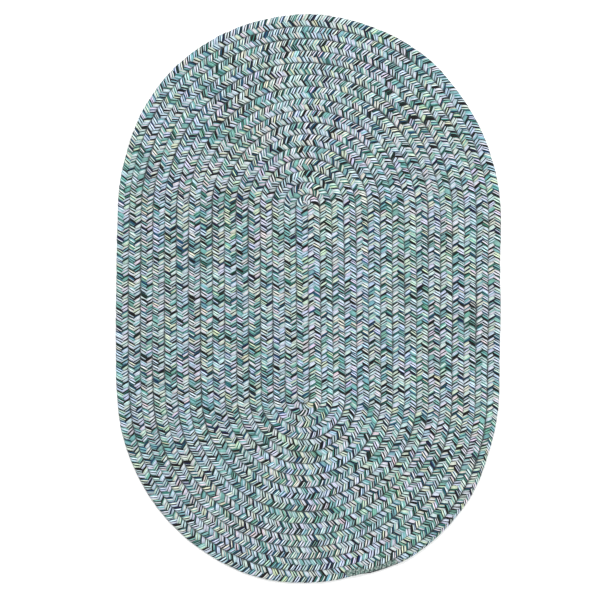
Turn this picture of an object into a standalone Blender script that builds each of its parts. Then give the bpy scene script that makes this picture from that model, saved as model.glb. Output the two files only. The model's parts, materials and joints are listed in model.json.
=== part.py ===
"""Braided rug: one flat braid, coiled into an oval and sewn row to row.

The braid starts at the lower hub, runs up beside the centre seam, turns round
the upper hub and goes on clockwise for sixteen rounds. The upper ends of the
rounds are half circles about the upper hub. The lower ends are half circles
about a point half a row to the left, which carries the braid one row outwards
each time it comes round. The sewn coil is one piece of cloth, so it is one
solid: each row is a rounded ridge on both faces, flat on its crest below, and
neighbouring rows share the groove where they are laced together.

Units are metres. +Y is along the rug, +Z up, and the origin is under the
middle of the rug, on the floor.
"""

import math

import bmesh
import bpy
import numpy as np

# Driving dimensions
ROW = 0.01905  # width of one row of the braid
ROUNDS = 16  # rows on each side of the centre seam
SPINE = 16 * ROW  # distance between the two hubs
THICKNESS = 0.0095  # from crest to crest
GROOVE_DEPTH = 0.0024  # of the groove between rows, on either face

# Steps of the loft
SIDE_STEPS = 4  # along each straight side of a round
END_STEPS = 18  # round each half circle
LOWER_END = 2 * SIDE_STEPS + END_STEPS  # the step at which a round's lower end starts

# A row's section: share of the row's width, share of the groove's depth
UPPER_SECTION = (
    (0.00, 0.00),
    (0.20, 0.72),
    (0.50, 1.00),
    (0.80, 0.72),
    (1.00, 0.00),
)
LOWER_SECTION = (
    (0.00, 0.00),
    (0.24, 1.00),
    (0.76, 1.00),
    (1.00, 0.00),
)
EDGE_INSET = 0.07  # rows: how far the outermost groove lies inside the rug's edge

# The tail of the braid past the lower hub: degrees round it, share of a row's width
TAIL = (
    (0, 1.00),
    (9, 0.88),
    (18, 0.74),
    (30, 0.80),
    (45, 0.68),
    (56, 0.60),
    (63, 0.38),
    (70, 0.16),
    (76, 0.00),
)
FULL_HEIGHT_FROM = 0.5  # a tail at least this share of a row wide keeps its height

# How far the rug's edge lies outside the plain oval.
# Quarters round the rug from the lower left: 0 to 1 is the left side, 1 to 2 the
# upper end, 2 to 3 the right side, 3 to 4 the lower end. Then millimetres.
UNEVEN_EDGE = (
    (0.00, -0.8),
    (0.12, 1.6),
    (0.40, 1.4),
    (0.75, -0.8),
    (1.00, -3.4),
    (1.09, -5.2),
    (1.17, -2.2),
    (1.25, 0.0),
    (1.50, 0.0),
    (1.60, -2.1),
    (1.68, -2.2),
    (1.80, -4.5),
    (1.92, -3.2),
    (2.00, 1.0),
    (2.12, 2.2),
    (2.25, 0.4),
    (2.50, 0.0),
    (2.75, -2.4),
    (3.00, -4.0),
    (3.15, -2.2),
    (3.40, -0.8),
    (3.58, -2.2),
    (3.70, -5.4),
    (3.85, -5.2),
    (3.95, -2.4),
    (4.00, -0.8),
)

YARN_COLOUR = (0.42, 0.56, 0.53, 1.0)
YARN_ROUGHNESS = 0.9


def half_turn(centre, radius, start_degrees):
    """Points of a half circle, clockwise from start_degrees."""
    angles = np.radians(start_degrees - np.linspace(0, 180, END_STEPS + 1))
    circle = np.stack([np.cos(angles), np.sin(angles)], axis=1)
    return np.array(centre) + radius * circle


def side(x, from_y, to_y):
    """Points of a straight side, without its last one, which the next end has."""
    y = np.linspace(from_y, to_y, SIDE_STEPS + 1)[:-1]
    return np.stack([np.full(len(y), x), y], axis=1)


def groove_line(rows, inset=0.0):
    """One round of the groove that lies this many rows out from the centre seam.

    It runs up the left side, over the upper end, down the right side and
    round the lower end. inset, in rows, draws it in.
    """
    out = max(rows - inset, 0.0) * ROW
    low_out = (rows + 0.5 - inset) * ROW
    upper = half_turn((0, SPINE / 2), out, 180)
    lower = half_turn((-ROW / 2, -SPINE / 2), low_out, 0)
    return np.concatenate(
        [
            side(-out, -SPINE / 2, SPINE / 2),
            upper[:-1],
            side(out, SPINE / 2, -SPINE / 2),
            lower,
        ]
    )


def tail_share():
    """The tail's width at each step of the lower end, as a share of a row."""
    degrees, share = np.array(TAIL).T
    return np.interp(np.linspace(0, 180, END_STEPS + 1), degrees, share)


def round_lines(inset=0.0):
    """The lines between rounds: line n is the outer one of round n.

    The last line is the rug's edge, which ends on the tail. Past the tail
    the line before it is the edge. inset, in rows, draws the edge in.
    """
    lines = [groove_line(number) for number in range(ROUNDS)]
    share = tail_share()[:, None]
    past_tail = LOWER_END + int(np.argmax(share <= 0))
    lines[-1][past_tail:] = groove_line(ROUNDS - 1, inset)[past_tail:]
    edge = groove_line(ROUNDS, inset)
    edge[LOWER_END:] = share * edge[LOWER_END:] + (1 - share) * lines[-1][LOWER_END:]
    return [*lines, edge]


def uneven(points):
    """Moves points outwards or inwards with the uneven edge.

    The whole shift comes at the edge, and it fades inwards with the square
    of the distance from the line between the hubs.
    """
    x, y = points.T
    hub_y = np.clip(y, -SPINE / 2, SPINE / 2)
    reach = np.stack([x, y - hub_y], axis=1)
    distance = np.linalg.norm(reach, axis=1)
    angle = np.degrees(np.arctan2(y - hub_y, x))
    along = hub_y / SPINE + 0.5
    quarter = np.select(
        [y > SPINE / 2, y < -SPINE / 2, x < 0],
        [1 + (180 - angle) / 180, 3 - angle / 180, along],
        3 - along,
    )
    where, shift = np.array(UNEVEN_EDGE).T
    outwards = np.interp(quarter, where, shift / 1000)
    fade = (distance / (ROUNDS * ROW)) ** 2
    direction = reach / np.maximum(distance, 1e-9)[:, None]
    return points + direction * (outwards * fade)[:, None]


def section_points(inner, outer, section, height):
    """Lofts a row's section between its inner and outer line.

    No Blender tool lofts rows that share their grooves, so the faces are
    built from these points. height(share_of_depth) gives a height for each
    step. The result has one line of points for each step and one column for
    each point of the section.
    """
    grid = np.empty((len(inner), len(section), 3))
    for column, (across, share) in enumerate(section):
        flat = (1 - across) * inner + across * outer
        grid[:, column, :2] = uneven(flat)
        grid[:, column, 2] = height(share)
    return grid


def upper_height(share, crest):
    return THICKNESS - GROOVE_DEPTH + share * crest * GROOVE_DEPTH


def lower_height(share, crest):
    return GROOVE_DEPTH - share * crest * GROOVE_DEPTH


def grid_faces(mesh, grid, turned):
    """Adds the quads of a grid of points to the mesh, turned over if asked."""
    points = [[mesh.verts.new(p) for p in line] for line in grid]
    for line, following in zip(points, points[1:]):
        for i in range(len(line) - 1):
            quad = [line[i], line[i + 1], following[i + 1], following[i]]
            mesh.faces.new(quad if turned else quad[::-1])


def add_row(mesh, inner, outer, crest):
    """Adds both faces of one round of the braid. crest is its height, 0 to 1."""
    upper = section_points(
        inner, outer, UPPER_SECTION, lambda share: upper_height(share, crest)
    )
    lower = section_points(
        inner, outer, LOWER_SECTION, lambda share: lower_height(share, crest)
    )
    grid_faces(mesh, upper, turned=False)
    grid_faces(mesh, lower, turned=True)


def add_start(mesh):
    """Adds the braid's first end: a half round, turned from half its section."""
    middle = np.array([-ROW / 2, -SPINE / 2])
    rim = half_turn(middle, ROW / 2, 0)

    def turned_half(section, height):
        grid = np.empty((len(rim), len(section), 3))
        for column, (across, share) in enumerate(section):
            grid[:, column, :2] = uneven(middle + (2 * across - 1) * (rim - middle))
            grid[:, column, 2] = height(share, 1.0)
        return grid

    upper = turned_half([p for p in UPPER_SECTION if p[0] >= 0.5], upper_height)
    lower = turned_half([p for p in LOWER_SECTION if p[0] >= 0.5], lower_height)
    grid_faces(mesh, upper, turned=False)
    grid_faces(mesh, lower, turned=True)
    flat_crest = lower[:, 0]
    mesh.faces.new([mesh.verts.new(p) for p in flat_crest])


def add_edge(mesh, rim, edge):
    """Adds the rounded wall between the two faces, all round the rug."""
    heights = (upper_height(0, 1), THICKNESS / 2, lower_height(0, 1))
    grid = np.empty((len(rim), 3, 3))
    for column, (line, height) in enumerate(zip((rim, edge, rim), heights)):
        grid[:, column, :2] = uneven(line)
        grid[:, column, 2] = height
    grid_faces(mesh, grid, turned=False)


def crest_heights(number):
    """A round's crest height at each step, 0 to 1: only the tail sinks."""
    crest = np.ones(LOWER_END + END_STEPS + 1)
    if number == ROUNDS:
        crest[LOWER_END:] = np.minimum(tail_share() / FULL_HEIGHT_FROM, 1.0)
    return crest


def build_coil(name):
    """The whole coil as one closed mesh, its lowest point on the floor."""
    mesh = bmesh.new()
    lines = round_lines(EDGE_INSET)
    for number in range(1, ROUNDS + 1):
        crest = crest_heights(number)
        last = np.flatnonzero(crest)[-1] + 1  # where the tail has run out
        built = slice(0, last + 1)
        inner, outer = lines[number - 1], lines[number]
        add_row(mesh, inner[built], outer[built], crest[built])
    add_start(mesh)
    add_edge(mesh, lines[-1], round_lines()[-1])
    bmesh.ops.remove_doubles(mesh, verts=mesh.verts, dist=0.00002)
    bmesh.ops.triangulate(mesh, faces=mesh.faces)
    data = bpy.data.meshes.new(name)
    mesh.to_mesh(data)
    mesh.free()
    return data


def centre_on_origin(data):
    """Moves the mesh so that the middle of its box lies over the origin."""
    points = np.empty(len(data.vertices) * 3)
    data.vertices.foreach_get("co", points)
    points = points.reshape(-1, 3)
    middle = (points.min(axis=0) + points.max(axis=0)) / 2
    points[:, :2] -= middle[:2]
    data.vertices.foreach_set("co", points.ravel())
    data.update()


def yarn_material():
    material = bpy.data.materials.new("braid_yarn")
    material.use_nodes = True
    shader = material.node_tree.nodes["Principled BSDF"]
    shader.inputs["Base Color"].default_value = YARN_COLOUR
    shader.inputs["Roughness"].default_value = YARN_ROUGHNESS
    return material


def main():
    for item in list(bpy.data.objects):
        bpy.data.objects.remove(item, do_unlink=True)
    collection = bpy.data.collections.new("braided_rug")
    bpy.context.scene.collection.children.link(collection)

    data = build_coil("braided_coil")
    centre_on_origin(data)
    data.shade_smooth()
    data.set_sharp_from_angle(angle=math.radians(60))
    data.materials.append(yarn_material())
    collection.objects.link(bpy.data.objects.new("braided_coil", data))


main()
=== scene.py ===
# %% [markdown]
# # A braided rug, strand by strand
#
# The rug on the floor is one long flat braid. A maker plaits three soft strands,
# winds the braid round and round into an oval and laces each row to the row
# inside it. Everything that shows is yarn, so this file makes the real strands,
# each going over and under the other two, and lays them along the coil.
#
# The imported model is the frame. It says how large the rug is and where it lies.

# %% Load the frame
import json

import bpy
import numpy as np
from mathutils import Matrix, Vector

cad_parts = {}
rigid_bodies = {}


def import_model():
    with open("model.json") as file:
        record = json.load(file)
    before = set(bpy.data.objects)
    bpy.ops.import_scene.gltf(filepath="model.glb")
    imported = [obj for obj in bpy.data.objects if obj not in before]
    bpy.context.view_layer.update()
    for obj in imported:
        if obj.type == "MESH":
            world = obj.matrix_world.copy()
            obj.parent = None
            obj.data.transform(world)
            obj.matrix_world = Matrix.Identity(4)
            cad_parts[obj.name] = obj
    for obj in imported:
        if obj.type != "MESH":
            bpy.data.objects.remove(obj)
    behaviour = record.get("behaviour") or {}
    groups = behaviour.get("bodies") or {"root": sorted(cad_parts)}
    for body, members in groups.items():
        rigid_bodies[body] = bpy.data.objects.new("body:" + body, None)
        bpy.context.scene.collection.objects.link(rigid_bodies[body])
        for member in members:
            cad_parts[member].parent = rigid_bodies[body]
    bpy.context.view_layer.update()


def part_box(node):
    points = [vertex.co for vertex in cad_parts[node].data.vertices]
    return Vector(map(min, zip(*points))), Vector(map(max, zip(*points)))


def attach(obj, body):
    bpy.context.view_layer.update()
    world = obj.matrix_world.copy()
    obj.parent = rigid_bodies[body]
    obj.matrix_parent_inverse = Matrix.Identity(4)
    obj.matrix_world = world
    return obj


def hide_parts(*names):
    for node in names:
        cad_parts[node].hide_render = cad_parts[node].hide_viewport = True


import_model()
low, high = (np.array(corner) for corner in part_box("braided_coil"))
THICKNESS = float(high[2] - low[2])
print("rug box, metres:", low.round(4), high.round(4))

# %% [markdown]
# ## Sizes
#
# A braid is measured by the width of one row. Here sixteen rows lie on each side
# of the centre seam, and the straight centre is as long as sixteen rows are wide.
# Everything else follows from the row. PLAIT is how far the braid runs before a
# strand is back where it was: on each side of a row that makes three arms.

# %% Sizes
ROW = 0.01905
ROUNDS = 16
SPINE = 16 * ROW
PLAIT = 0.0292
HALF = PLAIT / 2
STRANDS = 3
MIDDLE_Z = low[2] + THICKNESS / 2
PHOTO_PIXELS = 600  # the photograph is this wide and high
ROW_PIXELS = 12  # the width of a row in it
PIXEL = ROW / ROW_PIXELS
print("rows across:", 2 * ROUNDS, "pixel:", round(PIXEL * 1000, 3), "mm")

# %% [markdown]
# ## The camera and the light
#
# The photograph looks straight down on the rug from far away, so nothing on it is
# foreshortened. A long lens high above the floor gives the same look. The rug lies
# about half a degree off square and a little right of the middle, so the camera is
# turned and moved by as much.

# %% Camera
CAMERA_HEIGHT = 3.2
RUG_PIXEL = (308.7, 298.65)  # where the rug's middle is in the photograph
TURN_DEGREES = -0.48


def add_camera():
    """A camera that looks straight down and frames PHOTO_PIXELS pixels of the rug."""
    data = bpy.data.cameras.new("camera")
    frame_width = PHOTO_PIXELS * PIXEL
    data.lens = data.sensor_width * (CAMERA_HEIGHT - high[2]) / frame_width
    camera = bpy.data.objects.new("camera", data)
    half = PHOTO_PIXELS / 2
    x = (half - RUG_PIXEL[0]) * PIXEL
    y = (RUG_PIXEL[1] - half) * PIXEL
    camera.location = (x, y, CAMERA_HEIGHT)
    camera.rotation_euler = (0, 0, np.radians(TURN_DEGREES))
    bpy.context.scene.collection.objects.link(camera)
    bpy.context.scene.camera = camera
    print("camera lens:", round(data.lens, 1), "mm")


add_camera()


# %% Light and floor
def add_lamp(name, place, size, watts):
    """A square area lamp at place that points at the rug's middle."""
    data = bpy.data.lights.new(name, "AREA")
    data.size = size
    data.energy = watts
    lamp = bpy.data.objects.new(name, data)
    lamp.location = place
    lamp.rotation_euler = lamp.location.to_track_quat("Z", "Y").to_euler()
    bpy.context.scene.collection.objects.link(lamp)


def add_floor():
    """A pale plain floor that the rug lies on."""
    bpy.ops.mesh.primitive_plane_add(size=12)
    floor = bpy.context.object
    floor.name = "floor"
    material = bpy.data.materials.new("pale_floor")
    material.use_nodes = True
    shader = material.node_tree.nodes["Principled BSDF"]
    shader.inputs["Base Color"].default_value = (0.93, 0.93, 0.93, 1)
    shader.inputs["Roughness"].default_value = 0.8
    shader.inputs["Specular IOR Level"].default_value = 0.2
    floor.data.materials.append(material)


def set_room_light(strength):
    """The plain white light that comes from all round."""
    world = bpy.data.worlds.new("soft_room")
    world.use_nodes = True
    background = world.node_tree.nodes["Background"]
    background.inputs["Color"].default_value = (1, 1, 1, 1)
    background.inputs["Strength"].default_value = strength
    bpy.context.scene.world = world


add_floor()
set_room_light(0.67)
add_lamp("key", (-0.4, 1.9, 3.0), 1.6, 116)
add_lamp("fill", (1.8, -1.4, 2.8), 2.0, 63)
bpy.context.scene.view_settings.view_transform = "Standard"

# %% [markdown]
# ## The way the braid takes
#
# Think of the braid as a straight tape first. A point on it has a distance along
# the tape, a distance outwards from its middle line and a height. Laying the tape
# down as a coil then moves every point of it at once.
#
# The coil is made of straight runs and half circles. Upper half circles have their
# centre on the upper hub. Lower ones have theirs half a row further left, which
# carries the braid one row outwards each time it comes round.


# %% The runs of the coil
def coil_runs():
    """Four runs a round: up the left side, over the top, down the right, round below.

    Gives each run's kind, 0 to 3, its radius and the distance at which it starts.
    """
    round_number = np.repeat(np.arange(1, ROUNDS + 1), 4)
    kind = np.tile(np.arange(4), ROUNDS)
    radius = np.where(kind == 3, round_number, round_number - 0.5) * ROW
    length = np.where(kind % 2 == 0, SPINE, np.pi * radius)
    start = np.concatenate([[0], np.cumsum(length)])
    return kind, radius, start


RUN_KIND, RUN_RADIUS, RUN_START = coil_runs()
TAIL_STARTS = RUN_START[-2]
print("braid up to its tail:", round(TAIL_STARTS, 2), "m")

# %% [markdown]
# The last few centimetres of a braid are drawn thin, wound together and stitched
# down, so that the oval ends without a step. The table says how wide the tail
# still is, at each angle past the lower hub. The plait can be followed up to
# PLAIT_ENDS, where the three strands go into the wound end.

# %% The tail
# Degrees past the lower hub, share of a row's width
TAIL = np.array(
    [
        (0, 1.00),
        (9, 0.88),
        (18, 0.74),
        (30, 0.80),
        (45, 0.68),
        (56, 0.60),
        (63, 0.38),
        (70, 0.16),
        (76, 0.00),
    ]
)
TAIL_DEGREES, TAIL_SHARE = TAIL.T
TAIL_RADIUS = ROUNDS * ROW
TAIL_TIP = TAIL_STARTS + np.radians(TAIL_DEGREES[-2]) * TAIL_RADIUS
PLAIT_ENDS = 61.0
BRAID_LENGTH = TAIL_STARTS + np.radians(PLAIT_ENDS) * TAIL_RADIUS
START_END = -ROW * 0.42  # the braid's first end reaches this far below the hub
print("whole braid:", round(BRAID_LENGTH, 2), "m")

# %% [markdown]
# A rug that has been sewn by hand is never quite even. The table gives how far
# the edge lies outside or inside a perfect oval, going round from the lower left.
# The shift fades towards the middle of the rug.

# %% The uneven edge
# Quarters round the rug from the lower left, then millimetres outwards
UNEVEN_EDGE = np.array(
    [
        (0.00, -0.8),
        (0.12, 1.6),
        (0.40, 1.4),
        (0.75, -0.8),
        (1.00, -3.4),
        (1.09, -5.2),
        (1.17, -2.2),
        (1.25, 0.0),
        (1.50, 0.0),
        (1.60, -2.1),
        (1.68, -2.2),
        (1.80, -4.5),
        (1.92, -3.2),
        (2.00, 1.0),
        (2.12, 2.2),
        (2.25, 0.4),
        (2.50, 0.0),
        (2.75, -2.4),
        (3.00, -4.0),
        (3.15, -2.2),
        (3.40, -0.8),
        (3.58, -2.2),
        (3.70, -5.4),
        (3.85, -5.2),
        (3.95, -2.4),
        (4.00, -0.8),
    ]
)


def uneven(x, y):
    """Moves plan points outwards by the table, times the squared share of the way out."""
    hub_y = np.clip(y, -SPINE / 2, SPINE / 2)
    distance = np.hypot(x, y - hub_y)
    angle = np.degrees(np.arctan2(y - hub_y, x))
    along = hub_y / SPINE + 0.5
    quarter = np.select(
        [y > SPINE / 2, y < -SPINE / 2, x < 0],
        [1 + (180 - angle) / 180, 3 - angle / 180, along],
        3 - along,
    )
    shift = np.interp(quarter, UNEVEN_EDGE[:, 0], UNEVEN_EDGE[:, 1] / 1000)
    share = shift * (distance / (ROUNDS * ROW)) ** 2 / np.maximum(distance, 1e-9)
    return x + share * x, y + share * (y - hub_y)


print("edge shifts, mm:", UNEVEN_EDGE[:, 1].min(), "to", UNEVEN_EDGE[:, 1].max())

# %% [markdown]
# Laying the braid down is one formula for all its points. It finds the run that a
# point is on, the angle reached on it and the hub that it turns about.


# %% Laying the tape down as a coil
def lay_down(along, across):
    """Plan place of tape points. along is the way along the tape, across its outward one.

    A point lies at its run's radius plus across from the run's hub, at the angle
    reached so far. On a straight side the hub moves along and the angle stays.
    On the tail the outer half of the row narrows first, then the inner half.
    """
    run = np.clip(np.searchsorted(RUN_START, along, side="right") - 1, 0, len(RUN_KIND) - 1)
    kind, radius = RUN_KIND[run], RUN_RADIUS[run]
    done = along - RUN_START[run]
    turned = done / radius
    angle = np.choose(kind, [np.pi, np.pi - turned, 0.0, -turned])
    hub_x = np.where(kind == 3, -ROW / 2, 0.0)
    hub_y = np.choose(kind, [done - SPINE / 2, SPINE / 2, SPINE / 2 - done, -SPINE / 2])
    tail = along > TAIL_STARTS
    share = np.where(tail, np.interp(np.degrees(turned), TAIL_DEGREES, TAIL_SHARE), 1.0)
    inner_half, outer_half = np.minimum(2 * share, 1), np.maximum(2 * share - 1, 0)
    from_inner = np.minimum(across, 0) + ROW / 2
    reach = radius - ROW / 2 + inner_half * from_inner + outer_half * np.maximum(across, 0)
    return uneven(hub_x + reach * np.cos(angle), hub_y + reach * np.sin(angle))


LAST_ROUND_POINTS = 900
PAST_TAIL_POINTS = 200


def edge_line(inset):
    """The rug's edge as plan points, inset metres inside the last row's outer side.

    It is the outer side of the last round and of its tail. Past the tail's tip it
    is the outer side of the round before.
    """
    last_round = np.linspace(RUN_START[-5], TAIL_TIP, LAST_ROUND_POINTS)
    x, y = lay_down(last_round, np.full(LAST_ROUND_POINTS, ROW / 2 - inset))
    tail_passed = RUN_START[-6] + np.radians(TAIL_DEGREES[-1]) * RUN_RADIUS[-5]
    past_tail = np.linspace(tail_passed, RUN_START[-5], PAST_TAIL_POINTS)
    x_low, y_low = lay_down(past_tail, np.full(PAST_TAIL_POINTS, ROW / 2 - inset))
    return np.concatenate([x, x_low]), np.concatenate([y, y_low])


edge_x, edge_y = edge_line(0)
CENTRE_X = (edge_x.min() + edge_x.max()) / 2
CENTRE_Y = (edge_y.min() + edge_y.max()) / 2
print("edge box:", np.ptp(edge_x).round(4), np.ptp(edge_y).round(4))

# %% [markdown]
# ## The plait
#
# In a three-strand plait every strand swings from one side of the row to the
# other. On its way in to the middle it lies under the others, it comes up as it
# passes the middle, runs out over them to the edge, rolls over there and goes
# down. The three strands do the same, one third of a plait apart. Seen from
# above, the arms that lie on top make the arrow pattern of a braid.
#
# One table holds the way of half a plait. The other half is the same way
# mirrored, so a whole strand is that table repeated. A bevelled curve could follow
# this way too, but a strand rolls over at each edge of the row and each of its
# yarns has its own colour, so its rings of points are worked out as arrays.

# %% The way of a strand
# Share of half a plait, millimetres outwards, share of the lift, degrees of roll,
# share of the strand's full width: it is drawn together where it turns over
HALF_PLAIT = np.array(
    [
        (0.00, -7.5, 0.00, 90, 0.85),
        (0.14, -6.9, -0.60, 38, 0.92),
        (0.28, -5.1, -1.00, 4, 1.0),
        (0.41, -2.4, -0.80, 0, 1.0),
        (0.59, 2.4, 0.80, 0, 1.0),
        (0.72, 5.1, 1.00, 4, 1.0),
        (0.86, 6.9, 0.60, 38, 0.92),
    ]
)
RINGS = len(HALF_PLAIT)
LIFT = 0.00225  # from the middle of the rug up to the middle of an upper arm
print("rings in half a plait:", RINGS)

# %% [markdown]
# A strand is a bundle of soft yarns, wider than it is thick. Its section has twelve
# sides, and each side is one yarn: five above, five below and one at each edge.

# %% The section of a strand
SECTION_MM = np.array(
    [(-4.25, 1.30), (-2.6, 1.95), (-1.2, 2.20), (0.5, 2.25), (2.4, 1.95), (4.25, 1.30)]
    + [(4.25, -1.30), (2.6, -1.95), (1.2, -2.20), (-0.5, -2.25), (-2.4, -1.95), (-4.25, -1.30)]
)
YARNS = len(SECTION_MM)
EDGE_YARNS = (0, 5, 6, 11)  # the points at the section's two edges


def plait_template():
    """One whole plait of one strand: ring centres and the offsets of their points.

    The way is followed by its tangent, the difference of the next and the last
    centre. The section stands square to it, level first, then rolled.
    """
    share, out, lift, roll, width = HALF_PLAIT.T
    way = np.zeros((2 * RINGS, 3))
    way[:, 0] = np.concatenate([share, share + 1]) * HALF
    way[:, 1] = np.concatenate([out, -out]) / 1000
    way[:, 2] = np.concatenate([lift, lift]) * LIFT
    rolled = np.radians(np.concatenate([roll, 180 - roll]))[:, None]
    ahead, behind = np.roll(way, -1, axis=0), np.roll(way, 1, axis=0)
    ahead[-1, 0] += PLAIT
    behind[0, 0] -= PLAIT
    tangent = ahead - behind
    tangent /= np.linalg.norm(tangent, axis=1, keepdims=True)
    side = np.cross(tangent, (0, 0, 1))
    side /= np.linalg.norm(side, axis=1, keepdims=True)
    up = np.cross(side, tangent)
    wide = side * np.cos(rolled) + up * np.sin(rolled)
    thick = up * np.cos(rolled) - side * np.sin(rolled)
    across, through = SECTION_MM.T[:, None, :, None] / 1000
    across = across * np.tile(width, 2)[:, None, None]
    return way, wide, across * wide[:, None] + through * thick[:, None]


PLAIT_WAY, PLAIT_WIDE, PLAIT_OFFSETS = plait_template()
print("template:", PLAIT_OFFSETS.shape)

# %% [markdown]
# No two arms of a hand-fed braid are alike. Each gets a little more or less
# width, lift and reach. The numbers come from a seeded generator, so that the
# rug is the same each time, and they run smoothly from one arm to the next.

# %% Uneven arms
ARM_AT = 0.72  # the share of half a plait at which an upper arm has its middle
ARM_SEED = 100
WIDTH_VARIES = 0.05  # how much an arm's width, lift and reach vary, as shares
LIFT_VARIES = 0.05
LIFT_LIMITS = (0.86, 1.03)
REACH_VARIES = 0.035
REACH_LIMITS = (0.9, 1.05)
SLIDE_VARIES = 0.0004  # metres that an arm lies further on
CROWD_VARIES = 0.00028  # metres that a yarn lies nearer to its neighbour
SPARE_ARMS = 3  # drawn past the last arm, so that every place lies between two


def along_arms(values, position):
    """Values of the arms, carried evenly from arm to arm. position counts arms."""
    place = np.maximum(position - ARM_AT, 0)
    before = place.astype(int)
    share = (place - before).reshape(-1, *[1] * (values.ndim - 1))
    return values[before] * (1 - share) + values[before + 1] * share


def wander(along, seed, length, size):
    """A slow drift: evenly spaced random shifts, each eased into the next by a cosine."""
    chance = np.random.default_rng(seed)
    knots = chance.normal(0, size, int(BRAID_LENGTH / length) + 4)
    place = np.maximum(along / length, 0)
    before = place.astype(int)
    ease = (1 - np.cos(np.pi * (place - before))) / 2
    return knots[before] * (1 - ease) + knots[before + 1] * ease


print("arms on one side of a strand:", int(BRAID_LENGTH / HALF))

# %% [markdown]
# The plait also runs tighter here and looser there, so that arms of neighbouring
# rows meet differently all over the rug. At its two ends the braid gets thinner.

# %% Tension and ends
TENSION_SEED = 8
TENSION_LENGTH = 0.45  # metres of braid from one change of tension to the next
TENSION = 0.009  # metres that the plait lags or leads
STEADY = 0.3  # metres at both ends over which the changes fade out
BLUNT = 0.02  # the square of the least share that the first end keeps
TAIL_FULL_FROM = 0.5  # a tail at least this share of a row wide keeps its height
TAIL_LEAST = 0.2  # the share of its height that the tail keeps at its tip


def tension(along):
    """How far the plait lags along the braid: a slow drift that fades at both ends."""
    fade = np.clip(along / STEADY, 0, 1) * np.clip((BRAID_LENGTH - along) / STEADY, 0, 1)
    return wander(along, TENSION_SEED, TENSION_LENGTH, TENSION) * fade


def end_share(along):
    """How full the braid still is, 0 to 1, at its first end and at its last.

    The first end is a half round, so its share is the root of one less the square
    of the way past the start. The last follows the tail's table.
    """
    past_start = np.minimum(along, 0) / (ROW / 2)
    first = np.sqrt(np.clip(1 - past_start**2, BLUNT, 1))
    degrees = np.degrees((along - TAIL_STARTS) / TAIL_RADIUS)
    share = np.interp(degrees, TAIL_DEGREES, TAIL_SHARE)
    last = np.clip(share / TAIL_FULL_FROM, TAIL_LEAST, 1)
    return first, np.where(along > TAIL_STARTS, last, 1.0)


print("lag halfway along:", tension(np.array([BRAID_LENGTH / 2])).round(4), "m")

# %% [markdown]
# A strand is the template, repeated ring by ring along the tape. Its arms are made
# uneven, the tension shifts them and the ends thin them. Then the formula of the
# coil carries every point to its place. A Curve modifier could bend a straight
# braid too, but it couldn't narrow the tail from its outer side.

# %% A strand in the tape, then in the coil
SWAY_SEED = 7
SWAY_LENGTH = 0.09  # metres of braid from one sway of the row to the next
SWAY = 0.00045  # metres sideways
EDGE_SPREAD = 0.0008  # how much the outermost row spreads at its free side


def strand_points(strand, ring):
    """Points of one strand's rings: template, unevenness, ends, then the coil.

    ring counts rings from the first half plait on. The result is one line of
    YARNS points for each ring.
    """
    half, within = ring // RINGS, ring % (2 * RINGS)
    position = half + HALF_PLAIT[ring % RINGS, 0]
    chance = np.random.default_rng(ARM_SEED + strand)
    count = half.max() + SPARE_ARMS
    widths = chance.normal(1.0, WIDTH_VARIES, count)
    lifts = chance.normal(1.0, LIFT_VARIES, count).clip(*LIFT_LIMITS)
    reaches = chance.normal(1.0, REACH_VARIES, count).clip(*REACH_LIMITS)
    slides = chance.normal(0, SLIDE_VARIES, count)
    crowds = chance.normal(0, CROWD_VARIES, (count, YARNS))
    wide, lift, reach, slide = (
        along_arms(values, position)[:, None] for values in (widths, lifts, reaches, slides)
    )
    crowd = along_arms(crowds, position)
    crowd[:, EDGE_YARNS] = 0
    offsets = PLAIT_OFFSETS[within] + crowd[:, :, None] * PLAIT_WIDE[within][:, None]
    even = position * HALF - strand * PLAIT / STRANDS
    along = (even + tension(even))[:, None] + slide + offsets[:, :, 0] * wide
    across = PLAIT_WAY[within, 1][:, None] * reach + offsets[:, :, 1] * wide
    height = (PLAIT_WAY[within, 2][:, None] + offsets[:, :, 2]) * lift
    first, last = end_share(along)
    across = across * first + wander(along, SWAY_SEED, SWAY_LENGTH, SWAY)
    edge_row = np.interp(along, RUN_START[[-6, -5]], (0, 1))
    across = across + edge_row * EDGE_SPREAD * np.maximum(across, 0) / ROW
    x, y = lay_down(along, across)
    z = MIDDLE_Z + height * first * last
    return np.stack([x - CENTRE_X, y - CENTRE_Y, z], axis=2)


def ring_range(strand, start, stop):
    """The numbers of the rings of a strand that lie between two distances."""
    shift = strand * PLAIT / STRANDS
    first = int(np.ceil((start + shift) / HALF * RINGS))
    last = int(np.ceil((stop + shift) / HALF * RINGS))
    return np.arange(first, last + 1)


print("rings in one strand:", len(ring_range(0, START_END, BRAID_LENGTH)))

# %% [markdown]
# ## The colours of the yarns
#
# Each strand is bundled from pale yarns and a few deep ones, and every yarn is
# dyed in short stretches. At most arms the whole bundle changes its colours, pale
# to pale and deep to deep. The pale yarns of an arm are often alike, so one arm
# looks like a plain leaf and the next is striped. The colours are ordinary sea
# greens, creams and greys with dark lines. A picture laid over the rug could give
# them too, but it would run on from one arm to the next, and dyes dealt out yarn
# by yarn stay on their yarns.

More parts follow.
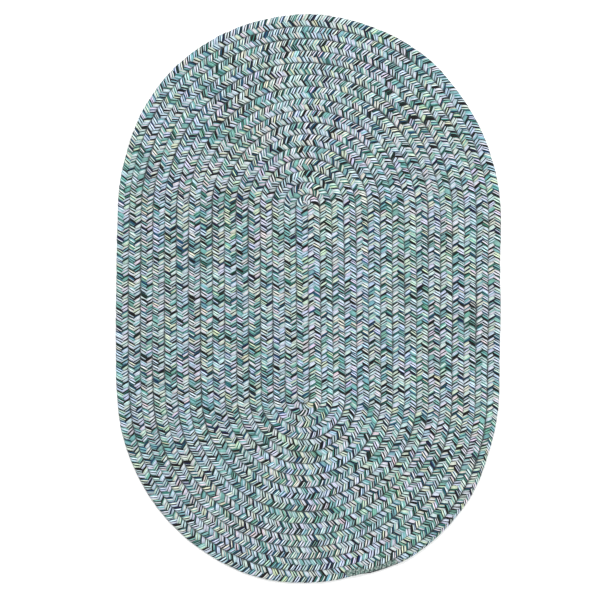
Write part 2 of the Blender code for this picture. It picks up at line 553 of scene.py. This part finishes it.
# %% The dye pots
# Each dye: its red, green and blue as a screen shows them, then how often a pale
# yarn and how often a deep one changes to it
DYES = {
    "sea": ((0.20, 0.43, 0.39), 4, 14),
    "aqua": ((0.46, 0.655, 0.65), 16, 1),
    "mist": ((0.69, 0.77, 0.80), 14, 0),
    "white": ((0.79, 0.86, 0.88), 22, 0),
    "lilac": ((0.77, 0.81, 0.87), 14, 0),
    "cream": ((0.80, 0.85, 0.79), 12, 0),
    "blush": ((0.82, 0.81, 0.84), 6, 0),
    "slate": ((0.08, 0.27, 0.37), 2, 13),
    "pine": ((0.0, 0.14, 0.12), 1, 17),
    "indigo": ((0.04, 0.07, 0.22), 1, 9),
    "ink": ((0.0, 0.0, 0.01), 2, 46),
}
DYE_NAMES = list(DYES)
PALE_ODDS = np.array([pale for _, pale, _ in DYES.values()], float)
DEEP_ODDS = np.array([deep for _, _, deep in DYES.values()], float)

# Yarns of each strand: five above, one edge, five below, one edge
YARN_PLAN = (
    "lilac blush aqua mist slate slate mist cream ink white cream sea",
    "white white pine cream aqua slate slate aqua blush white lilac aqua",
    "mist ink white aqua aqua ink white white aqua mist pine slate",
)


def linear(colour):
    """Shader values of screen colours: the usual screen curve undone.

    Very dark values are divided by 12.92. The others, moved a little, are raised
    to the power 2.4.
    """
    colour = np.asarray(colour, float)
    return np.where(colour < 0.04045, colour / 12.92, ((colour + 0.055) / 1.055) ** 2.4)


DYE_VALUES = linear([colour for colour, _, _ in DYES.values()])
print("dyes:", ", ".join(DYE_NAMES))

# %% [markdown]
# Dye takes a little differently from one stretch to the next, so the tint of a
# strand drifts slowly. Where it gets redder or bluer the green evens out its
# lightness, because the eye would notice that first.

# %% How the tint drifts
DRIFT_LENGTH = 60  # arms after which a change is forgotten
DRIFT_MEMORY = 0.75  # the share of a change that is left one arm later
RED_DRIFT = 0.065
BLUE_DRIFT = 0.075
IN_LIGHTNESS = (0.21, 0.72, 0.07)  # how much red, green and blue count in lightness


def drifting(chance, count, size):
    """Random numbers that drift: each is a fading sum of all that came before it."""
    fading = DRIFT_MEMORY ** np.arange(DRIFT_LENGTH)
    steps = chance.normal(0, size, count + DRIFT_LENGTH - 1)
    return np.convolve(steps, fading, "valid") * np.sqrt(1 - DRIFT_MEMORY**2)


def dye_lot(chance, count):
    """A strand's tint, half plait by half plait: red and blue drift, green evens out."""
    red = drifting(chance, count, RED_DRIFT)
    blue = drifting(chance, count, BLUE_DRIFT)
    of_red, of_green, of_blue = IN_LIGHTNESS
    green = -(of_red * red + of_blue * blue) / of_green
    return 1 + np.stack([red, green, blue], axis=1)[:, None]


print("a tint:", dye_lot(np.random.default_rng(0), 1)[0, 0].round(3))

# %% [markdown]
# With these odds each strand draws its dyes by seeded chance. Most changes take in
# the whole bundle at once, which is what makes single arms stand out.

# %% Dealing out the dyes
DYE_SEED = 500
PALE_FROM = 0.36  # a planned yarn at least this light is a pale one
ARM_FROM = 0.12  # an arm's common dye is at least this light
BUNDLE_CHANGES = 0.75  # how often the whole bundle changes at an arm
YARN_CHANGES = 0.1  # how often a single yarn changes at an arm
ALIKE = 0.75  # share of an arm's changed pale yarns that are dyed alike
AS_PLANNED = 0.2  # share of the changes that lead back to the planned dye
TURNS = (0.06, 0.88, 0.06)  # how often the bundle is turned back, straight or on
SHADE_VARIES = 0.06  # how much lighter or darker a yarn's stretch comes out
SHADE_LIMITS = (0.7, 1.03)


def yarn_colours(strand, count):
    """Colours of a strand's yarns, one line for each half plait.

    A yarn keeps its dye until it changes, a pale one mostly to the common dye of
    its arm and a deep one to another deep one. Here and there the bundle is turned
    by one yarn. Stretches are a little lighter or darker.
    """
    chance = np.random.default_rng(DYE_SEED + strand)
    plan = np.array([DYE_NAMES.index(name) for name in YARN_PLAN[strand].split()])
    pale = DYE_VALUES[plan].mean(axis=1) > PALE_FROM
    pots = np.arange(len(DYES))
    from_pale = chance.choice(pots, (count, YARNS), p=PALE_ODDS / PALE_ODDS.sum())
    from_deep = chance.choice(pots, (count, YARNS), p=DEEP_ODDS / DEEP_ODDS.sum())
    changed = np.where(pale, from_pale, from_deep)
    arm_odds = PALE_ODDS * (DYE_VALUES.mean(axis=1) > ARM_FROM)
    of_arm = chance.choice(pots, (count, 1), p=arm_odds / arm_odds.sum())
    alike = pale & (chance.random((count, YARNS)) < ALIKE)
    changed = np.where(alike, of_arm, changed)
    drawn = np.where(chance.random((count, YARNS)) < AS_PLANNED, plan, changed)
    bundle_changes = chance.random((count, 1)) < BUNDLE_CHANGES
    change = bundle_changes | (chance.random((count, YARNS)) < YARN_CHANGES)
    changed_at = np.where(change, np.arange(count)[:, None], 0)
    changed_at = np.maximum.accumulate(changed_at, axis=0)
    dye = np.take_along_axis(drawn, changed_at, axis=0)
    turned = chance.choice((-1, 0, 1), (count, 1), p=TURNS)
    dye = np.take_along_axis(dye, (np.arange(YARNS) + turned) % YARNS, axis=1)
    shade = chance.normal(1.0, SHADE_VARIES, (count, YARNS, 1)).clip(*SHADE_LIMITS)
    return DYE_VALUES[dye] * shade * dye_lot(chance, count)


print("strand 1, first arm:", yarn_colours(0, 1)[0, 0].round(2))


# %% [markdown]
# ## The yarn itself
#
# The finish follows each yarn. The map called yarn_way holds the distance along
# the strand and, across it, a count of yarns, so that the fraction of the count
# says where on one yarn a point lies. From that come the round of the yarn, the
# shadow between two yarns and the slanting lines of its twist. The colour comes
# from the mesh. Each yarn could be a tube of its own, but it is so shallow that a
# bump looks the same from here and needs far fewer faces.


# %% Helpers for finishes
def add_node(tree, kind, **values):
    """A node of a kind with its settings and plain inputs."""
    node = tree.nodes.new(kind)
    for name, value in values.items():
        if hasattr(node, name):
            setattr(node, name, value)
        else:
            node.inputs[name].default_value = value
    return node


def maths(tree, operation, first, second=None):
    """A Math node that joins sockets or numbers, as its output socket."""
    node = tree.nodes.new("ShaderNodeMath")
    node.operation = operation
    for place, value in enumerate((first, second)):
        if value is None:
            continue
        if isinstance(value, (int, float)):
            node.inputs[place].default_value = value
        else:
            tree.links.new(value, node.inputs[place])
    return node.outputs[0]


def map_range(tree, value, from_range, to_range):
    """A value carried evenly from one range to another, as an output socket."""
    node = tree.nodes.new("ShaderNodeMapRange")
    ends = zip(("From Min", "From Max", "To Min", "To Max"), (*from_range, *to_range))
    for name, end in ends:
        node.inputs[name].default_value = end
    tree.links.new(value, node.inputs["Value"])
    return node.outputs["Result"]


def raise_surface(tree, height, shader, strength, distance):
    """A bump: the surface looks raised by the height times the distance."""
    bump = add_node(tree, "ShaderNodeBump", Strength=strength, Distance=distance)
    tree.links.new(height, bump.inputs["Height"])
    tree.links.new(bump.outputs["Normal"], shader.inputs["Normal"])


def set_matt(shader, roughness, gloss, sheen):
    """The dull surface of yarn: rough, hardly shiny, with a little fuzz at its edges."""
    shader.inputs["Roughness"].default_value = roughness
    shader.inputs["Specular IOR Level"].default_value = gloss
    shader.inputs["Sheen Weight"].default_value = sheen


# %% The yarn's finish
TWIST_LENGTH = 0.0045  # metres along the strand for one line of twist
TWIST_SLANT = 0.8  # lines of twist that one crosses from side to side of a yarn
# The gap between two yarns is painted shade in the base colour, and the top of a yarn gets a
# touch of painted light.
GAP_TONE = 0.2  # how light the gap between two yarns stays
TOP_TONE = 1.02  # how light the top of a yarn is
TWIST_TONE = 0.05  # how much the lines of twist change the tone
FIBRE_SCALE = 900.0
FIBRE_RANGE = (0.25, 0.75)  # of the noise
FIBRE_TONES = (0.82, 1.12)
YARN_RELIEF = 0.8  # how much yarns, lines of twist and fibres stand out, as shares
TWIST_RELIEF = 0.12
FIBRE_RELIEF = 0.5
RELIEF = 0.0006  # metres
RELIEF_STRENGTH = 0.6


def yarn_finish():
    """Soft matt yarn: mesh colour, round yarns with painted shade between them, twist lines and
    loose fibres.

    The round of a yarn is one less the cube of the way from its middle to its
    edge. The twist is a sine of the way along and across.
    """
    material = bpy.data.materials.new("braid_yarn")
    material.use_nodes = True
    tree = material.node_tree
    link = tree.links.new
    shader = tree.nodes["Principled BSDF"]
    way = add_node(tree, "ShaderNodeUVMap", uv_map="yarn_way")
    parts = add_node(tree, "ShaderNodeSeparateXYZ")
    link(way.outputs["UV"], parts.inputs[0])
    place = maths(tree, "FRACT", parts.outputs["Y"])
    off_middle = maths(tree, "ABSOLUTE", maths(tree, "SUBTRACT", place, 0.5))
    edge = maths(tree, "MULTIPLY", off_middle, 2.0)
    round_of_yarn = maths(tree, "SUBTRACT", 1.0, maths(tree, "POWER", edge, 3.0))
    turns = maths(tree, "DIVIDE", parts.outputs["X"], TWIST_LENGTH)
    slant = maths(tree, "ADD", turns, maths(tree, "MULTIPLY", parts.outputs["Y"], TWIST_SLANT))
    twist = maths(tree, "SINE", maths(tree, "MULTIPLY", slant, 2 * np.pi))
    where = add_node(tree, "ShaderNodeTexCoord")
    fibres = add_node(tree, "ShaderNodeTexNoise", Scale=FIBRE_SCALE, Detail=3.0)
    link(where.outputs["Object"], fibres.inputs["Vector"])
    shadow = map_range(tree, round_of_yarn, (0.0, 1.0), (GAP_TONE, TOP_TONE))
    grain = map_range(tree, fibres.outputs["Fac"], FIBRE_RANGE, FIBRE_TONES)
    twisted = maths(tree, "ADD", maths(tree, "MULTIPLY", twist, TWIST_TONE), 1.0)
    tone = maths(tree, "MULTIPLY", shadow, grain)
    tone = maths(tree, "MULTIPLY", tone, twisted)
    colour = add_node(tree, "ShaderNodeAttribute", attribute_name="yarn_colour")
    dyed = add_node(tree, "ShaderNodeVectorMath", operation="SCALE")
    link(colour.outputs["Color"], dyed.inputs[0])
    link(tone, dyed.inputs["Scale"])
    link(dyed.outputs["Vector"], shader.inputs["Base Color"])
    height = maths(tree, "MULTIPLY", round_of_yarn, YARN_RELIEF)
    height = maths(tree, "ADD", height, maths(tree, "MULTIPLY", twist, TWIST_RELIEF))
    fuzz = maths(tree, "MULTIPLY", fibres.outputs["Fac"], FIBRE_RELIEF)
    height = maths(tree, "ADD", height, fuzz)
    raise_surface(tree, height, shader, RELIEF_STRENGTH, RELIEF)
    set_matt(shader, roughness=0.92, gloss=0.15, sheen=0.15)
    shader.inputs["Sheen Roughness"].default_value = 0.6
    return material


YARN = yarn_finish()
print("yarn finish:", len(YARN.node_tree.nodes), "nodes")

# %% [markdown]
# ## Making the strands
#
# The braid is twenty-five metres long, so each strand is made in four lengths, one
# starting where the other ends. The faces between two rings are counted out as
# whole arrays. Five quads close each end.

# %% Faces from rings
CAP_COLUMNS = np.array([(n, n + 1, YARNS - 2 - n, YARNS - 1 - n) for n in range(YARNS // 2 - 1)])
CAPS = 2 * len(CAP_COLUMNS)


def tube_faces(rings):
    """Quads of a tube of rings, then five for each end, as one array."""
    ring = np.repeat(np.arange(rings - 1), YARNS)
    yarn = np.tile(np.arange(YARNS), rings - 1)
    nearer, further = ring * YARNS, (ring + 1) * YARNS
    following = (yarn + 1) % YARNS
    corners = [nearer + yarn, nearer + following, further + following, further + yarn]
    wall = np.stack(corners, axis=1)
    last = (rings - 1) * YARNS
    return np.concatenate([wall, CAP_COLUMNS[:, ::-1], CAP_COLUMNS + last])


def make_mesh(name, points, faces):
    """An object at the origin with these points and faces, shaded smooth."""
    mesh = bpy.data.meshes.new(name)
    mesh.from_pydata(points, [], faces)
    mesh.polygons.foreach_set("use_smooth", np.ones(len(faces), bool))
    mesh.update()
    piece = bpy.data.objects.new(name, mesh)
    bpy.context.scene.collection.objects.link(piece)
    return piece


print("faces of a tube of two rings:", len(tube_faces(2)))

# %% [markdown]
# Two maps go on each length. The finish reads yarn_way. The other is for baked
# pictures: it lays the length out in even rows, one above the other.

# %% The maps of a length
CAP_WAY = [(0.1, 0.1), (0.1, 0.9), (0.2, 0.9), (0.2, 0.1)]  # of the quads at the ends
BAKE_ROWS = 20
BAKE_MARGIN = 0.06  # of a row, kept free above and below
CAP_LEFT = 0.992  # the end quads lie at the right of the top row, one above the other
CAP_WIDE = 0.006
CAPS_FROM = 0.1  # of a row: where the lowest of them starts
CAPS_SPREAD = 0.8  # how far up they reach
CAP_HIGH = 0.08  # how high each is


def way_map(rings, distance):
    """The map yarn_way: distance along the strand, count of yarns across it."""
    near = np.repeat(distance[:-1], YARNS)
    far = np.repeat(distance[1:], YARNS)
    yarn = np.tile(np.arange(YARNS), rings - 1)
    along = np.stack([near, near, far, far], axis=1)
    across = np.stack([yarn, yarn + 1, yarn + 1, yarn], axis=1)
    wall = np.stack([along, across], axis=2)
    return np.concatenate([wall, np.tile(CAP_WAY, (CAPS, 1, 1))])


def bake_map(rings):
    """The map for baking: the tube cut into BAKE_ROWS rows, one above the other."""
    per_row = int(np.ceil((rings - 1) / BAKE_ROWS)) + 1
    ring = np.repeat(np.arange(rings - 1), YARNS)
    row, place = ring // per_row, ring % per_row
    yarn = np.tile(np.arange(YARNS), rings - 1)
    left, right = place / per_row, (place + 1) / per_row
    free = 1 - 2 * BAKE_MARGIN
    below = (row + BAKE_MARGIN + free * yarn / YARNS) / BAKE_ROWS
    above = (row + BAKE_MARGIN + free * (yarn + 1) / YARNS) / BAKE_ROWS
    u = np.stack([left, left, right, right], axis=1)
    v = np.stack([below, above, above, below], axis=1)
    wall = np.stack([u, v], axis=2)
    corner = np.array([(0.0, 0.0), (0.0, 1.0), (1.0, 1.0), (1.0, 0.0)])
    place = np.arange(CAPS)[:, None] / CAPS
    ends = np.empty((CAPS, 4, 2))
    ends[:, :, 0] = CAP_LEFT + CAP_WIDE * corner[:, 0]
    ends[:, :, 1] = (place * CAPS_SPREAD + CAPS_FROM + CAP_HIGH * corner[:, 1]) / BAKE_ROWS
    ends[:, :, 1] += (BAKE_ROWS - 1) / BAKE_ROWS
    return np.concatenate([wall, ends])


print("corners mapped on two rings:", way_map(2, np.arange(2)).shape, bake_map(2).shape)

# %% [markdown]
# A yarn keeps its colour as long as it is on top, but painted shade darkens it where it dives at
# the row's edge, and a little where the next arm lies on it, while the middle of an arm gets a
# touch of painted light. The side of the strand that turns up on outer arms is painted a touch
# lighter than the other one, its edge yarns are painted a little darker, and the end quads are
# painted half as light. These are shares of painted light and shade that the dyes are multiplied
# by, because in so soft a light the shadows alone come out too weak.

# %% Light and shade along a strand
RING_LIGHT = np.array([0.52, 1.0, 1.03, 0.9, 0.9, 1.03, 1.0])  # from the row's edge on
SIDE_LIGHT = np.outer([1.07, 0.91], [0.95, 1.0, 1.0, 1.0, 1.0, 0.95]).ravel()
CAP_LIGHT = 0.5


def corner_colours(colours, light):
    """Corner colours: a quad's yarn's own colour times the light of its corners."""
    side = np.stack([SIDE_LIGHT, np.roll(SIDE_LIGHT, -1)], axis=1)[None, :, :, None]
    near = colours[:-1, :, None] * light[:-1, None, None, None] * side
    far = colours[:-1, :, None] * light[1:, None, None, None] * side[:, :, ::-1]
    wall = np.concatenate([near, far], axis=2).reshape(-1, 4, 3)
    ends = np.broadcast_to(colours[0, 0] * CAP_LIGHT, (CAPS, 4, 3))
    return np.concatenate([wall, ends])


print("light round the section:", SIDE_LIGHT.round(2))


# %% The lengths of the strands
def add_map(piece, name, corners):
    """Lays a map of this name on a piece: two values for each corner of its faces."""
    piece.data.uv_layers.new(name=name).uv.foreach_set("vector", corners.ravel())


def add_colours(piece, strand, ring):
    """Colours every corner of a length with the dyes of its half plaits, times the painted light
    and shade along and round the strand.
    """
    last_half = ring_range(strand, START_END, BRAID_LENGTH)[-1] // RINGS
    colours = yarn_colours(strand, last_half + SPARE_ARMS)[ring // RINGS + 1]
    shown = corner_colours(colours, RING_LIGHT[ring % RINGS]).reshape(-1, 3)
    with_alpha = np.concatenate([shown, np.ones((len(shown), 1))], axis=1)
    attribute = piece.data.color_attributes.new("yarn_colour", "FLOAT_COLOR", "CORNER")
    attribute.data.foreach_set("color", with_alpha.ravel())


def make_length(strand, part, start, stop):
    """One length of one strand, with its maps and colours."""
    ring = ring_range(strand, start, stop)
    points = strand_points(strand, ring)
    name = f"strand_{strand + 1}_length_{part + 1}"
    piece = make_mesh(name, points.reshape(-1, 3), tube_faces(len(ring)))
    centres = points.mean(axis=1)
    steps = np.linalg.norm(np.diff(centres, axis=0), axis=1)
    distance = np.concatenate([[0.0], np.cumsum(steps)])
    add_map(piece, "OFBake", bake_map(len(ring)))
    add_map(piece, "yarn_way", way_map(len(ring), distance))
    add_colours(piece, strand, ring)
    piece.data.materials.append(YARN)
    print(name, len(piece.data.polygons) * 2, "triangles")
    return piece


ROUNDS_DONE = (8, 11, 14)  # where a strand's first three lengths end
LENGTH_ENDS = [START_END, *(RUN_START[4 * done] for done in ROUNDS_DONE), BRAID_LENGTH]
pieces = [
    make_length(strand, part, *LENGTH_ENDS[part : part + 2])
    for strand in range(STRANDS)
    for part in range(len(LENGTH_ENDS) - 1)
]
print("triangles in all:", sum(len(p.data.polygons) for p in pieces) * 2)

# %% [markdown]
# ## The wound end
#
# Past the plait the strands are wound together into a thin flat cord. It slips
# along the edge of the row inside it, climbs onto that row's outer side and is
# whipped down there with a dark thread. The table holds its middle line and its
# section at each angle past the lower hub, as they look in the photograph. A
# bevelled curve would keep one shape of section all along, and this one widens and
# flattens, so it is a surface: the angle along it and the turn round its section.

# %% The wound end's shape
# Degrees, then millimetres: outwards from the row inside it, half its width,
# height of its middle above the floor, half its thickness
WOUND_END = np.array(
    [
        (57.5, 4.6, 3.0, 4.4, 2.2),
        (60.0, 3.4, 4.4, 4.6, 3.0),
        (62.0, 2.0, 4.3, 5.0, 3.3),
        (64.0, 0.8, 3.7, 5.4, 3.2),
        (66.0, -0.4, 3.2, 6.0, 3.0),
        (68.0, -1.7, 2.9, 6.8, 2.6),
        (70.0, -3.0, 3.0, 7.5, 2.3),
        (71.5, -5.2, 4.2, 7.9, 2.0),
        (73.0, -6.4, 5.0, 8.1, 1.9),
        (75.0, -7.6, 5.6, 8.1, 1.9),
        (76.3, -8.2, 5.2, 8.0, 1.8),
        (77.0, -8.5, 2.6, 7.8, 1.2),
    ]
)
END_RINGS = 60
END_SIDES = 16
ROUNDNESS = 0.8  # less than one makes the section fuller than a plain oval
BULGE = 0.00022  # metres that the wound strands stand out
BULGES = 3  # one for each strand
BULGE_TURN = 2.4  # how far the bulges wind round in one degree along
END_BAND = (0.02, 0.85)  # the band of the baked picture that shows the rolled-out tube
END_DISC = 0.04  # radius of the two ends beside it
END_DISCS_AT = ((0.2, 0.93), (0.6, 0.93))


def wound_place(degrees, out, side, height):
    """Points at an angle round the lower end, out and side metres from the last row but one."""
    radius = TAIL_RADIUS - ROW / 2 + out + side
    angle = -np.radians(degrees)
    x = -ROW / 2 + radius * np.cos(angle) - CENTRE_X
    y = -SPINE / 2 + radius * np.sin(angle) - CENTRE_Y
    return np.stack([x, y, low[2] + height], axis=-1)


def wound_points(degrees, turn, proud=0.0):
    """Points on the wound end: at an angle round the rug and a turn round its section.

    The section is a flattened round: cos and sin of the turn, to the power
    ROUNDNESS. proud lifts the points off the surface.
    """
    out, half_wide, middle, half_thick = (
        np.interp(degrees, WOUND_END[:, 0], column) / 1000 for column in WOUND_END.T[1:]
    )
    across, up = np.cos(turn), np.sin(turn)
    side = (half_wide + proud) * np.sign(across) * np.abs(across) ** ROUNDNESS
    height = middle + (half_thick + proud) * np.sign(up) * np.abs(up) ** ROUNDNESS
    return wound_place(degrees, out, side, height)


def loop_faces(rings, sides):
    """Quads of a tube of rings of this many sides, open at its ends."""
    ring = np.repeat(np.arange(rings - 1), sides)
    side = np.tile(np.arange(sides), rings - 1)
    near, far, following = ring * sides, (ring + 1) * sides, (side + 1) % sides
    return np.stack([near + side, far + side, far + following, near + following], axis=1)


def loop_bake_map(rings, sides, low_v, high_v):
    """For baking: the tube rolled out in a band between two heights of the picture."""
    ring = np.repeat(np.arange(rings - 1), sides) / (rings - 1)
    side = np.tile(np.arange(sides), rings - 1) / sides
    next_ring, next_side = ring + 1 / (rings - 1), side + 1 / sides
    u = np.stack([ring, next_ring, next_ring, ring], axis=1)
    v = np.stack([side, side, next_side, next_side], axis=1)
    return np.stack([u, low_v + v * (high_v - low_v)], axis=2)


print("wound end:", np.ptp(WOUND_END[:, 0]), "degrees long")

# %% [markdown]
# In the wound end one sees no whole arms, only short flecks of the yarns. A noise
# on the object's own coordinates gives them, through a ramp from dark to pale.

# %% The wound end and its finish
WOUND_COLOURS = [(0.06, 0.1, 0.1), (0.3, 0.42, 0.39), (0.5, 0.56, 0.54), (0.64, 0.66, 0.65)]
WOUND_FLECKS = 420.0
FLECK_RANGE = (0.36, 0.66)  # of the noise
FLECK_RELIEF = 0.0008  # metres
FLECK_STRENGTH = 0.7


def wound_finish(name, colours, scale):
    """Yarn with short mixed flecks: colours are the ramp's stops, dark to pale."""
    material = bpy.data.materials.new(name)
    material.use_nodes = True
    tree = material.node_tree
    shader = tree.nodes["Principled BSDF"]
    where = add_node(tree, "ShaderNodeTexCoord")
    flecks = add_node(tree, "ShaderNodeTexNoise", Scale=scale, Detail=3.0, Roughness=0.6)
    tree.links.new(where.outputs["Object"], flecks.inputs["Vector"])
    ramp = tree.nodes.new("ShaderNodeValToRGB")
    stops = np.linspace(*FLECK_RANGE, len(colours))
    for _ in range(len(colours) - 2):
        ramp.color_ramp.elements.new(0.5)
    for element, stop, colour in zip(ramp.color_ramp.elements, stops, colours):
        element.position = stop
        element.color = (*linear(colour), 1)
    tree.links.new(flecks.outputs["Fac"], ramp.inputs["Fac"])
    tree.links.new(ramp.outputs["Color"], shader.inputs["Base Color"])
    raise_surface(tree, flecks.outputs["Fac"], shader, FLECK_STRENGTH, FLECK_RELIEF)
    set_matt(shader, roughness=0.92, gloss=0.15, sheen=0.15)
    return material


def make_wound_end():
    """The wound end: rings of points with a slight twist of bulges, and two caps."""
    degrees = np.linspace(WOUND_END[0, 0], WOUND_END[-1, 0], END_RINGS)[:, None]
    turn = np.linspace(0, 2 * np.pi, END_SIDES, endpoint=False)[None, :]
    bulge = BULGE * np.sin(BULGES * turn + degrees * BULGE_TURN)
    points = wound_points(degrees + 0 * turn, turn + 0 * degrees, bulge)
    faces = loop_faces(END_RINGS, END_SIDES)
    near_end = np.arange(END_SIDES)
    far_end = (END_RINGS - 1) * END_SIDES + near_end[::-1]
    faces = [*faces.tolist(), near_end.tolist(), far_end.tolist()]
    piece = make_mesh("wound_end", points.reshape(-1, 3), faces)
    disc = np.stack([np.cos(turn[0]), np.sin(turn[0])], axis=1) * END_DISC
    tube = loop_bake_map(END_RINGS, END_SIDES, *END_BAND).reshape(-1, 2)
    near_at, far_at = END_DISCS_AT
    add_map(piece, "OFBake", np.concatenate([tube, disc + near_at, disc[::-1] + far_at]))
    piece.data.materials.append(wound_finish("wound_yarn", WOUND_COLOURS, WOUND_FLECKS))
    print("wound end:", len(faces), "faces")
    return piece


# %% [markdown]
# The stitches that hold the wound end down are short slanting loops of dark
# thread over it. They go in and out at the two sides of the cord. Their way comes
# from the wound end's own formula, so that they lie on it all along.

# %% The stitches
STITCHES = 11
STITCH_SEED = 31
STITCHED = (62.5, 76.2)  # degrees past the lower hub
STITCH_SLANT = 1.1  # degrees that a stitch goes along while it crosses
STITCH_VARIES = 0.25  # degrees
STITCH_TURN = 68  # how far it reaches down on each side, in degrees from the top
STITCH_RINGS = 9
STITCH_SIDES = 6
STITCH_BAND = (0.1, 0.9)  # of its share of the baked picture
THREAD = 0.0005  # radius of the doubled thread
PROUD = 0.0001  # how far the thread's middle lies off the yarn
THREAD_COLOURS = [(0.03, 0.04, 0.05), (0.16, 0.19, 0.19)]
THREAD_FLECKS = 900.0


def make_stitches():
    """Each stitch is a thin tube over the wound end, from one side to the other."""
    chance = np.random.default_rng(STITCH_SEED)
    middle = np.linspace(*STITCHED, STITCHES) + chance.normal(0, STITCH_VARIES, STITCHES)
    slant = chance.normal(STITCH_SLANT, STITCH_VARIES, STITCHES)
    share = np.linspace(-1, 1, STITCH_RINGS)
    points, faces, maps = [], [], []
    for number in range(STITCHES):
        degrees = middle[number] + slant[number] * share / 2
        turn = np.pi / 2 - share * np.radians(STITCH_TURN)
        way = wound_points(degrees, turn, PROUD)
        tangent = np.gradient(way, axis=0)
        tangent /= np.linalg.norm(tangent, axis=1, keepdims=True)
        side = np.cross(tangent, (0, 0, 1))
        side /= np.linalg.norm(side, axis=1, keepdims=True)
        top = np.cross(side, tangent)
        round_it = np.linspace(0, 2 * np.pi, STITCH_SIDES, endpoint=False)[None, :, None]
        ring = np.cos(round_it) * side[:, None] + np.sin(round_it) * top[:, None]
        points.append((way[:, None] + THREAD * ring).reshape(-1, 3))
        first = number * STITCH_RINGS * STITCH_SIDES
        last = first + (STITCH_RINGS - 1) * STITCH_SIDES
        ends = np.arange(STITCH_SIDES)
        faces += (loop_faces(STITCH_RINGS, STITCH_SIDES) + first).tolist()
        faces += [(first + ends).tolist(), (last + ends[::-1]).tolist()]
        low_v, high_v = ((number + edge) / STITCHES for edge in STITCH_BAND)
        tube = loop_bake_map(STITCH_RINGS, STITCH_SIDES, low_v, high_v).reshape(-1, 2)
        cap = np.full((2 * STITCH_SIDES, 2), (0.5, (low_v + high_v) / 2))
        maps.append(np.concatenate([tube, cap]))
    piece = make_mesh("tail_stitches", np.concatenate(points), faces)
    add_map(piece, "OFBake", np.concatenate(maps))
    piece.data.materials.append(wound_finish("lacing_thread", THREAD_COLOURS, THREAD_FLECKS))
    print("stitches:", STITCHES)
    return piece


pieces += [make_wound_end(), make_stitches()]

# %% [markdown]
# ## What shows between the arms
#
# Where two arms part, one looks down on yarns that lie deeper and on the lacing thread, all in
# shadow. They are too small to tell apart, so one thin layer at half height stands for them,
# dark with painted shade. It ends inside the outermost row.

# %% The layer between the arms
GROUND_POINTS = 240
GROUND_PROFILE_MM = ((4.6, 0.8), (3.6, 0.0), (4.6, -0.8))  # inside the edge, above the middle
SHADED_COLOURS = ((0.012, 0.016, 0.02, 1), (0.09, 0.12, 0.12, 1))  # darkest and lightest
SHADED_RANGE = (0.35, 0.7)  # of the noise
SHADED_SCALE = 260.0
FACE_MAP = (0.46, 0.9)  # width and height of each face in the baked picture
FACE_MARGIN = 0.02
LOWER_FACE_AT = (0.5, 0)
WALL_TOPS = (0.98, 0.96)  # the two strips of the wall
WALL_HIGH = 0.02


def even_loop(x, y, count):
    """count points at equal distances round a closed line of plan points."""
    x, y = np.append(x, x[0]), np.append(y, y[0])
    done = np.concatenate([[0.0], np.cumsum(np.hypot(np.diff(x), np.diff(y)))])
    at = np.linspace(0, done[-1], count, endpoint=False)
    return np.interp(at, done, x), np.interp(at, done, y)


def ground_points():
    """Three loops of points, upper, outermost and lower, one after the other."""
    loops = []
    for inset, height in GROUND_PROFILE_MM:
        x, y = even_loop(*edge_line(inset / 1000), GROUND_POINTS)
        z = np.full(GROUND_POINTS, MIDDLE_Z + height / 1000)
        loops.append(np.stack([x - CENTRE_X, y - CENTRE_Y, z], axis=1))
    return np.concatenate(loops)


def ground_faces():
    """The upper face, the lower one and two rounds of quads, facing outwards."""
    this = np.arange(GROUND_POINTS)
    following = (this + 1) % GROUND_POINTS
    faces = [this[::-1].tolist(), (this + 2 * GROUND_POINTS).tolist()]
    for upper in (0, GROUND_POINTS):
        lower = upper + GROUND_POINTS
        quads = [upper + this, upper + following, lower + following, lower + this]
        faces += np.stack(quads, axis=1).tolist()
    return faces


def ground_bake_map(points):
    """For baking: the two faces side by side, the wall as a strip above them."""
    low_xy, size = points[:, :2].min(axis=0), np.ptp(points[:, :2], axis=0)
    flat = (points[:, :2] - low_xy) / size * FACE_MAP + FACE_MARGIN
    this = np.arange(GROUND_POINTS)
    left, right = this / GROUND_POINTS, (this + 1) / GROUND_POINTS
    maps = [flat[this[::-1]], flat[2 * GROUND_POINTS + this] + LOWER_FACE_AT]
    for top in WALL_TOPS:
        high, deep = np.full(GROUND_POINTS, top), np.full(GROUND_POINTS, top - WALL_HIGH)
        u = np.stack([left, right, right, left], axis=1)
        v = np.stack([high, high, deep, deep], axis=1)
        maps.append(np.stack([u, v], axis=2).reshape(-1, 2))
    return np.concatenate(maps)


def shaded_yarn():
    """Dark yarn of mixed colours in shadow: a noise through a ramp of two colours."""
    material = bpy.data.materials.new("shaded_yarn")
    material.use_nodes = True
    tree = material.node_tree
    shader = tree.nodes["Principled BSDF"]
    where = add_node(tree, "ShaderNodeTexCoord")
    mix = add_node(tree, "ShaderNodeTexNoise", Scale=SHADED_SCALE, Detail=4.0)
    tree.links.new(where.outputs["Object"], mix.inputs["Vector"])
    ramp = tree.nodes.new("ShaderNodeValToRGB")
    for element, stop, colour in zip(ramp.color_ramp.elements, SHADED_RANGE, SHADED_COLOURS):
        element.position = stop
        element.color = colour
    tree.links.new(mix.outputs["Fac"], ramp.inputs["Fac"])
    tree.links.new(ramp.outputs["Color"], shader.inputs["Base Color"])
    raise_surface(tree, mix.outputs["Fac"], shader, RELIEF_STRENGTH, RELIEF)
    set_matt(shader, roughness=0.95, gloss=0.1, sheen=0.0)
    return material


def make_ground():
    """The dark layer, with its map for baking."""
    points = ground_points()
    ground = make_mesh("laced_ground", points, ground_faces())
    add_map(ground, "OFBake", ground_bake_map(points))
    ground.data.materials.append(shaded_yarn())
    return ground


ground = make_ground()

# %% [markdown]
# ## Handing the pieces to the frame
#
# All pieces ride on the rug's one body and together stand for its one solid. The rug is a sheet
# that lies on the floor.

# %% Frame calls
for piece in [ground, *pieces]:
    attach(piece, "root")
    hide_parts("braided_coil")
print("pieces on the rug's body:", len(pieces) + 1)
